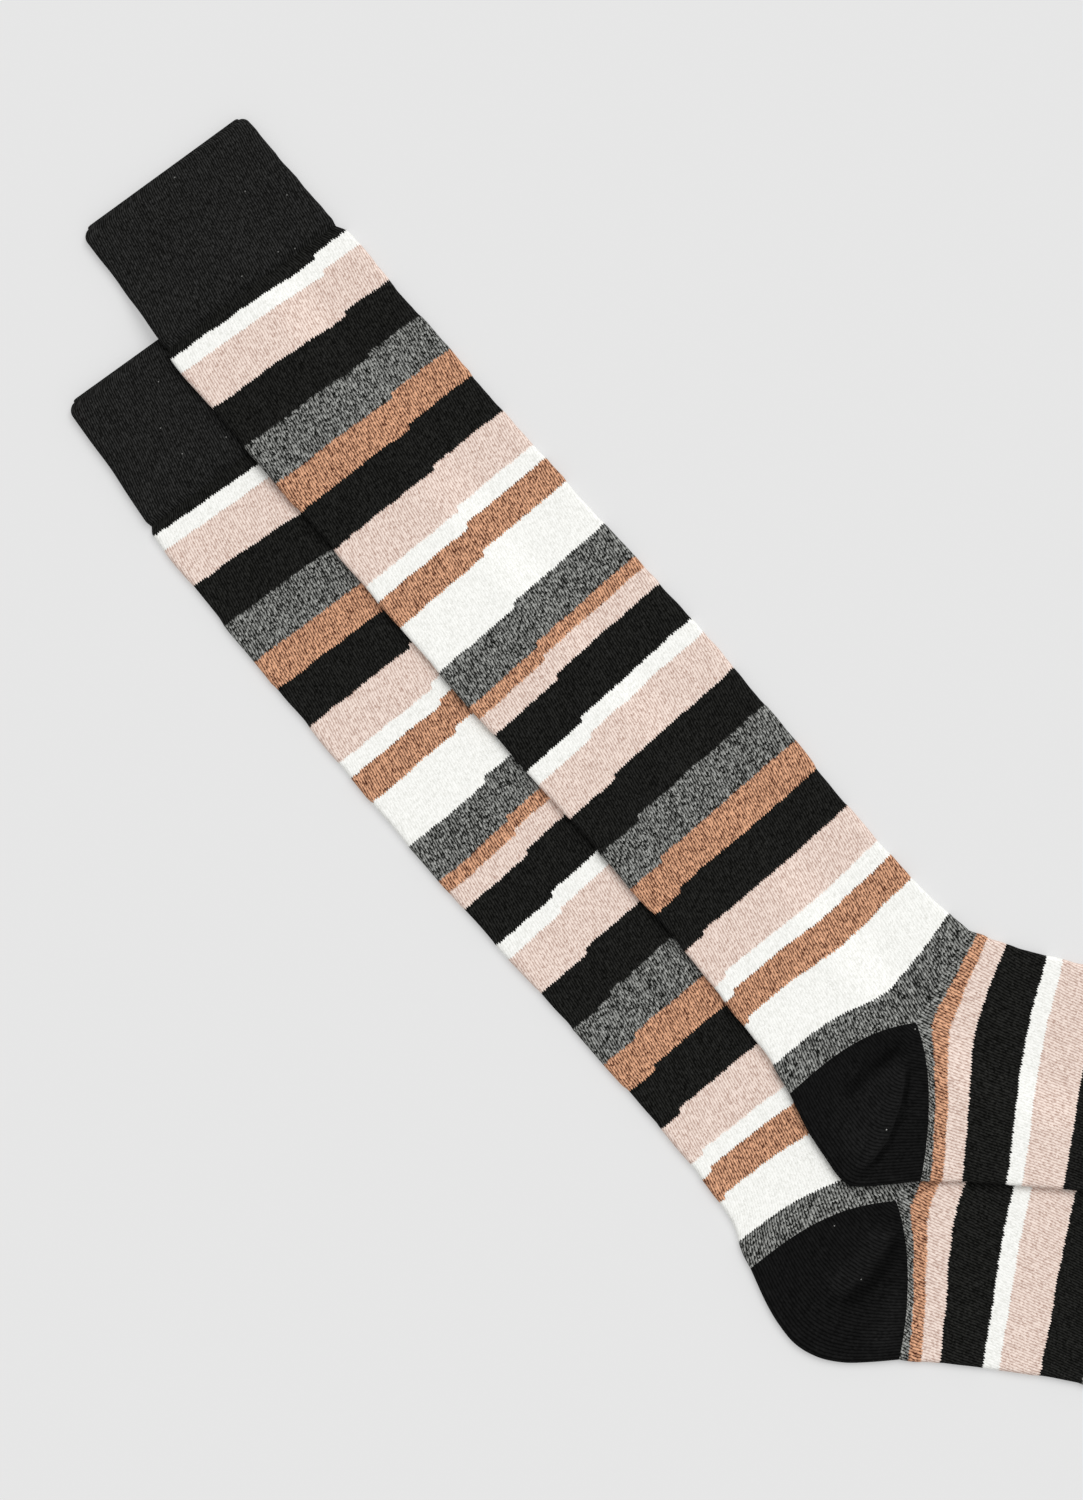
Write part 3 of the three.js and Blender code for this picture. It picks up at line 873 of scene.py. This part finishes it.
def knit_material(name, yarn_at, linty=0.0):
    """yarn_at puts a loop's crest colour, groove colour and shares into the material's tree. Along the
    grooves between wales the groove colour is painted shade. The crease heights in the Fold attribute
    paint light on the crest of a crease, which is made paler, and shade in its groove, made darker."""
    material = bpy.data.materials.new(name)
    material.use_nodes = True
    tree = material.node_tree
    tree.nodes.clear()
    chart = tree.nodes.new("ShaderNodeUVMap")
    chart.uv_map = "Stitches"
    wale, course, _ = split(tree, chart.outputs[0])
    place = tree.nodes.new("ShaderNodeTexCoord").outputs["Object"]
    stitch = use_group(tree, stitches, Wale=wale, Course=wandering(tree, place, wale, course))
    crest, groove, (everywhere, groove_shade_share, by_chance) = yarn_at(tree, stitch["Row"])
    mixed = calculate(tree, "ADD", stitch["Chance"], stitch["Fibre"])
    odd = calculate(tree, "MULTIPLY", calculate(tree, "ADD", mixed, -1.0), by_chance)
    # Painted shade: more of the groove colour along the grooves between wales.
    lines = calculate(tree, "ADD", stitch["Groove"], -GROOVE_MEAN)
    lines = calculate(tree, "MULTIPLY", lines, groove_shade_share)
    mask = calculate(tree, "ADD", calculate(tree, "ADD", lines, odd), everywhere, clamp=True)
    colour = blend_colour(tree, mask, crest, groove)
    if linty:
        x, y, _ = split(tree, place)
        across, along = (calculate(tree, "MULTIPLY", value, LINT_PER_METRE) for value in (x, y))
        specks = use_group(tree, lint, X=across, Y=along)
        speck = calculate(tree, "MULTIPLY", specks["Lint"], linty)
        colour = blend_colour(tree, speck, colour, linear(LINT_COLOUR))
    # Painted light and shade: the colour is made paler on a crease's crest and darker in its groove,
    # by the height kept in the Fold attribute.
    fold = tree.nodes.new("ShaderNodeAttribute")
    fold.attribute_name = "Fold"
    height = calculate(tree, "MAXIMUM", fold.outputs["Fac"], -FOLD_FULL)
    height = calculate(tree, "MINIMUM", height, FOLD_FULL)
    painted_shading = calculate(tree, "MULTIPLY_ADD", height, FOLD_PAINTED_SHADING / FOLD_FULL, 1.0)
    colour = blend_colour(tree, 1.0, colour, vector(tree, painted_shading, painted_shading, painted_shading), "MULTIPLY")
    bump = tree.nodes.new("ShaderNodeBump")
    bump.inputs["Strength"].default_value = BUMP_STRENGTH
    bump.inputs["Distance"].default_value = BUMP_DEEP
    wire(tree, stitch["Relief"], bump.inputs["Height"])
    shader = tree.nodes.new("ShaderNodeBsdfPrincipled")
    shader.inputs["Specular IOR Level"].default_value = SPECULAR
    shader.inputs["Sheen Weight"].default_value = SHEEN
    shader.inputs["Sheen Roughness"].default_value = SHEEN_ROUGHNESS
    rough = calculate(tree, "MULTIPLY_ADD", stitch["Fibre"], ROUGH_SPREAD, ROUGH_LEAST)
    wire(tree, rough, shader.inputs["Roughness"])
    wire(tree, colour, shader.inputs["Base Color"])
    wire(tree, bump.outputs[0], shader.inputs["Normal"])
    output = tree.nodes.new("ShaderNodeOutputMaterial")
    wire(tree, shader.outputs[0], output.inputs[0])
    return material


striped_knit = knit_material("striped_knit", striped)
cuff_knit = knit_material("cuff_knit", plain("cuff black"), 0.35)
heel_knit = knit_material("heel_knit", plain("heel black"), 0.5)
print("materials:", striped_knit.name, cuff_knit.name, heel_knit.name)

# %% [markdown]
# ## The socks' tubes
#
# The cuff is knitted twice as long as it looks and turned in, so its top edge is a fold and its
# wall is thicker. The leg and the foot are one plain tube, with the heel pocket set in between.

# %% The courses of each tube
COURSE_STEP = 2.6


def wall(courses, deep):
    """Courses down the outside of a wall and back up its inside, with how deep each face lies."""
    return [(c, 0.0) for c in courses] + [(c, deep) for c in courses[::-1]]


def cuff_stations():
    """Close courses at the rounded corners and at the groove, and over the turned top edge."""
    corner = CUFF_TOP + CUFF_CORNERS[0] / COURSE * (1 - np.cos(np.linspace(0.15, np.pi / 2, 11)))
    middle = np.arange(CUFF_TOP + 7, CUFF_END - 12, 3.5)
    courses = np.concatenate([[CUFF_TOP], corner, middle, np.linspace(CUFF_END - 12, CUFF_END, 15)])
    angle = np.linspace(np.pi, 0, 9)[1:-1]
    round_off = CUFF_WALL / 2
    lip = [(CUFF_TOP - round_off * math.sin(a) / COURSE, round_off * (1 - math.cos(a))) for a in angle]
    return wall(courses, CUFF_WALL) + lip


close_courses = [CUFF_END, -4.5, -4, -3.4, -2.7, -1.8, -0.8]  # in the groove below the cuff
even_courses = np.linspace(0.8, HEEL_COURSE, int(HEEL_COURSE / COURSE_STEP))
leg_courses = np.concatenate([close_courses, even_courses])
foot_courses = np.linspace(HEEL_COURSE, TOE_COURSE, int((TOE_COURSE - HEEL_COURSE) / COURSE_STEP))
print("courses placed:", len(leg_courses), "on a leg and", len(foot_courses), "on a foot")


# %% [markdown]
# ## The cut of each piece
#
# A maker would ask how much cloth a piece takes. For a tube that is its girth and its length. We
# work both out from the course lines, and print them with each piece.

def flat_size(lay, part, first, last):
    """The cloth's flat size: all round the middle course, and along from end to end."""
    courses = np.linspace(first, last, 60)
    back, front = folds(lay, courses, part)
    width = np.linalg.norm(front - back, axis=1).mean()
    middle = (back + front) / 2
    return 2 * width * MM, np.linalg.norm(np.diff(middle, axis=0), axis=1).sum() * MM


def declare(lay, kind, piece, flat):
    """Hides the piece's solid in the frame, and prints the piece's faces and its flat cut."""
    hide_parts(f"{lay['name']}_{kind}")
    print(piece.name, len(piece.data.polygons), "faces, flat", [round(x / MM) for x in flat], "mm")
    return piece


cloths = []
for lay in (LOWER, UPPER):
    for kind, part, stations, material in (
        ("cuff", "leg", cuff_stations(), cuff_knit),
        ("leg", "leg", wall(leg_courses, LEG_WALL), striped_knit),
        ("foot", "foot", wall(foot_courses, LEG_WALL), striped_knit),
    ):
        courses = [course for course, _ in stations]
        size = flat_size(lay, part, min(courses), max(courses))
        cloths.append(declare(lay, kind, tube(lay, kind, part, stations, material), size))

# %% [markdown]
# ## Heel and toe pockets
#
# A heel pocket is knitted to and fro on part of the needles. Each course is shorter than the last,
# and then longer again, so the courses turn a corner at a slanting line. On the flat sock that is
# a fan about the ankle's corner: the courses run beside the leg's end in its first half, and
# beside the foot's start in its second. The toe is the same, and one linked seam closes it on the
# instep side, which leaves a small ridge.

# %% A pocket's loops
POCKET_STEPS = 99
POCKET_COURSES = 44
SEAM_RIDGE, SEAM_AT, SEAM_WIDE = 0.45, 0.988, 0.006


def pocket_loop(length, half, radius):
    """From the corner underneath to the fold, round it, and back over the top to the corner."""
    quarter = np.linspace(0, np.pi, FOLD_STEPS + 1)[1:-1]
    reach = length - half
    out = np.linspace(1, 0, POCKET_STEPS + 1)
    under = out[::3]
    inward = np.concatenate([
        half + reach * under,
        half - radius * np.sin(quarter),
        half + reach * out[::-1],
    ])
    height = np.concatenate([
        np.full(under.shape, half - radius),
        half - radius * np.cos(quarter),
        np.full(out.shape, half + radius),
    ])
    turned = np.concatenate([
        -np.ones(under.shape),
        np.linspace(-1, 1, len(quarter)),
        np.ones(out.shape),
    ])
    return inward, height, turned


def pocket(lay, kind, point_at, fans, material):
    """A fan of loops, out along the outside and back along the inside."""
    half = LEG_THICK / 2
    stations = [(fan, 0.0) for fan in fans] + [(fan, LEG_WALL) for fan in fans[::-1]]
    points, chart, radii = [], [], []
    for fan, deep in stations:
        ends = point_at(lay, np.array([fan, fan]), np.array([0, CORNER_SHARE]))
        length = np.hypot(*(ends[1] - ends[0]))
        inward, height, turned = pocket_loop(length, half, half - deep)
        share = CORNER_SHARE * inward / length
        flat = laid(lay, point_at(lay, np.full(share.shape, fan), share))
        ridge = SEAM_RIDGE * math.exp(-(((fan - SEAM_AT) / SEAM_WIDE) ** 2))
        ridge = ridge * (kind == "toe") * (turned > 0)
        points.append(np.column_stack([flat, height + ridge]))
        course = POCKET_COURSES * (1 - share / CORNER_SHARE) * 2 * min(fan, 1 - fan)
        chart.append(np.column_stack([WALES_FLAT * share * turned, course]))
        radii.append(half - deep)
    points, chart = np.array(points), np.array(chart)
    rise = relief(lay, points, half, np.array(radii)[:, None])
    points[..., 2] += rise + lie_height(lay, points[..., :2])
    fold = creases_at(lay, points[..., :2])
    return cloth_mesh(f"{lay['name']}_{kind}_cloth", points, chart, fold, False, material)


# %% Knit the heels and toes
STRIP_SLACK = 1.25  # a pocket is narrower at its ends than the strip it is cut from
heel_fans = np.linspace(0, 1, 161)
toe_fans = np.concatenate([np.linspace(0, 0.97, 140), np.linspace(0.974, 1, 11)])
for lay in (LOWER, UPPER):
    for kind, point_at, fans in (("heel", heel_point, heel_fans), ("toe", toe_point, toe_fans)):
        piece = pocket(lay, kind, point_at, fans, heel_knit)
        edge = laid(lay, point_at(lay, np.linspace(0, 1, 60), np.zeros(60)))
        fold_length = np.linalg.norm(np.diff(edge, axis=0), axis=1).sum() * MM
        area = sum(face.area for face in piece.data.polygons) / 2
        strip = (STRIP_SLACK * area / fold_length, fold_length)
        cloths.append(declare(lay, kind, piece, strip))

# %% [markdown]
# ## The surface and the light
#
# Soft light comes from the upper right of the picture, so the socks' lower and left edges throw
# a short soft shade. The surface glows faintly, like a light table, which keeps that shade pale.

# %% Stage
FLOOR_COLOUR, FLOOR_GLOW = (175, 175, 175), 0.36
FLOOR_ROUGHNESS, FLOOR_SPECULAR = 0.9, 0.1
FLOOR_REACH, FLOOR_DROP = 40.0, 0.05 * MM  # the drop keeps the floor off the socks' own undersides
floor_mesh = bpy.data.meshes.new("floor")
corner_signs = ((-1, -1), (1, -1), (1, 1), (-1, 1))
floor_corners = [(x * FLOOR_REACH, y * FLOOR_REACH, -FLOOR_DROP) for x, y in corner_signs]
floor_mesh.from_pydata(floor_corners, [], [(0, 1, 2, 3)])
floor = bpy.data.objects.new("floor", floor_mesh)
bpy.context.scene.collection.objects.link(floor)
floor_paint = bpy.data.materials.new("pale_floor")
floor_paint.use_nodes = True
floor_shader = floor_paint.node_tree.nodes["Principled BSDF"]
floor_shader.inputs["Base Color"].default_value = linear(FLOOR_COLOUR)
floor_shader.inputs["Roughness"].default_value = FLOOR_ROUGHNESS
floor_shader.inputs["Specular IOR Level"].default_value = FLOOR_SPECULAR
floor_shader.inputs["Emission Color"].default_value = (1, 1, 1, 1)
floor_shader.inputs["Emission Strength"].default_value = FLOOR_GLOW
floor_mesh.materials.append(floor_paint)

WORLD_LIGHT = 0.58
SUN_LIGHT, SUN_WIDE, SUN_FROM = 1.71, math.radians(40), (0.93, 0.4, 1.3)
world = bpy.data.worlds.new("studio")
bpy.context.scene.world = world
world.use_nodes = True
sky = world.node_tree.nodes["Background"]
sky.inputs["Color"].default_value = (1, 1, 1, 1)
sky.inputs["Strength"].default_value = WORLD_LIGHT

sun = bpy.data.objects.new("key", bpy.data.lights.new("key", "SUN"))
sun.data.energy = SUN_LIGHT
sun.data.angle = SUN_WIDE
sun.rotation_euler = Vector(SUN_FROM).to_track_quat("Z", "Y").to_euler()
bpy.context.scene.collection.objects.link(sun)
print("sun of", SUN_LIGHT, "over a sky of", WORLD_LIGHT)

# %% [markdown]
# ## The camera
#
# The socks were photographed from straight above, with their legs at 41 degrees in the picture.
# We could turn the socks, but they lie along the frame's axes, so the camera turns instead. A
# long lens keeps the outline free of perspective.

# %% Camera
PICTURE_TURN = math.radians(-41)
PICTURE_MIDDLE = np.array([-30.2, -249.0])  # in the upper sock's own plane
PICTURE_TALL = 540.0
LENS, SENSOR = 100.0, 36.0
camera = bpy.data.objects.new("camera", bpy.data.cameras.new("camera"))
camera.data.lens, camera.data.sensor_width = LENS, SENSOR
camera.data.clip_end = 20
middle = (PICTURE_MIDDLE + PLACE) * MM
camera.location = (*middle, (PICTURE_TALL * LENS / SENSOR + LEG_THICK) * MM)
camera.rotation_euler = (0, 0, PICTURE_TURN)
bpy.context.scene.collection.objects.link(camera)
bpy.context.scene.camera = camera
bpy.context.scene.view_settings.view_transform = "Standard"
print("camera", [round(x, 3) for x in camera.location])

# %% [markdown]
# ## All the faces
#
# The visible cloth may stand out from its solids only a little, by its creases and its fuller
# yarns. The faces of all its pieces are counted.

# %% Count the faces
print("faces in all:", sum(len(piece.data.polygons) for piece in cloths))
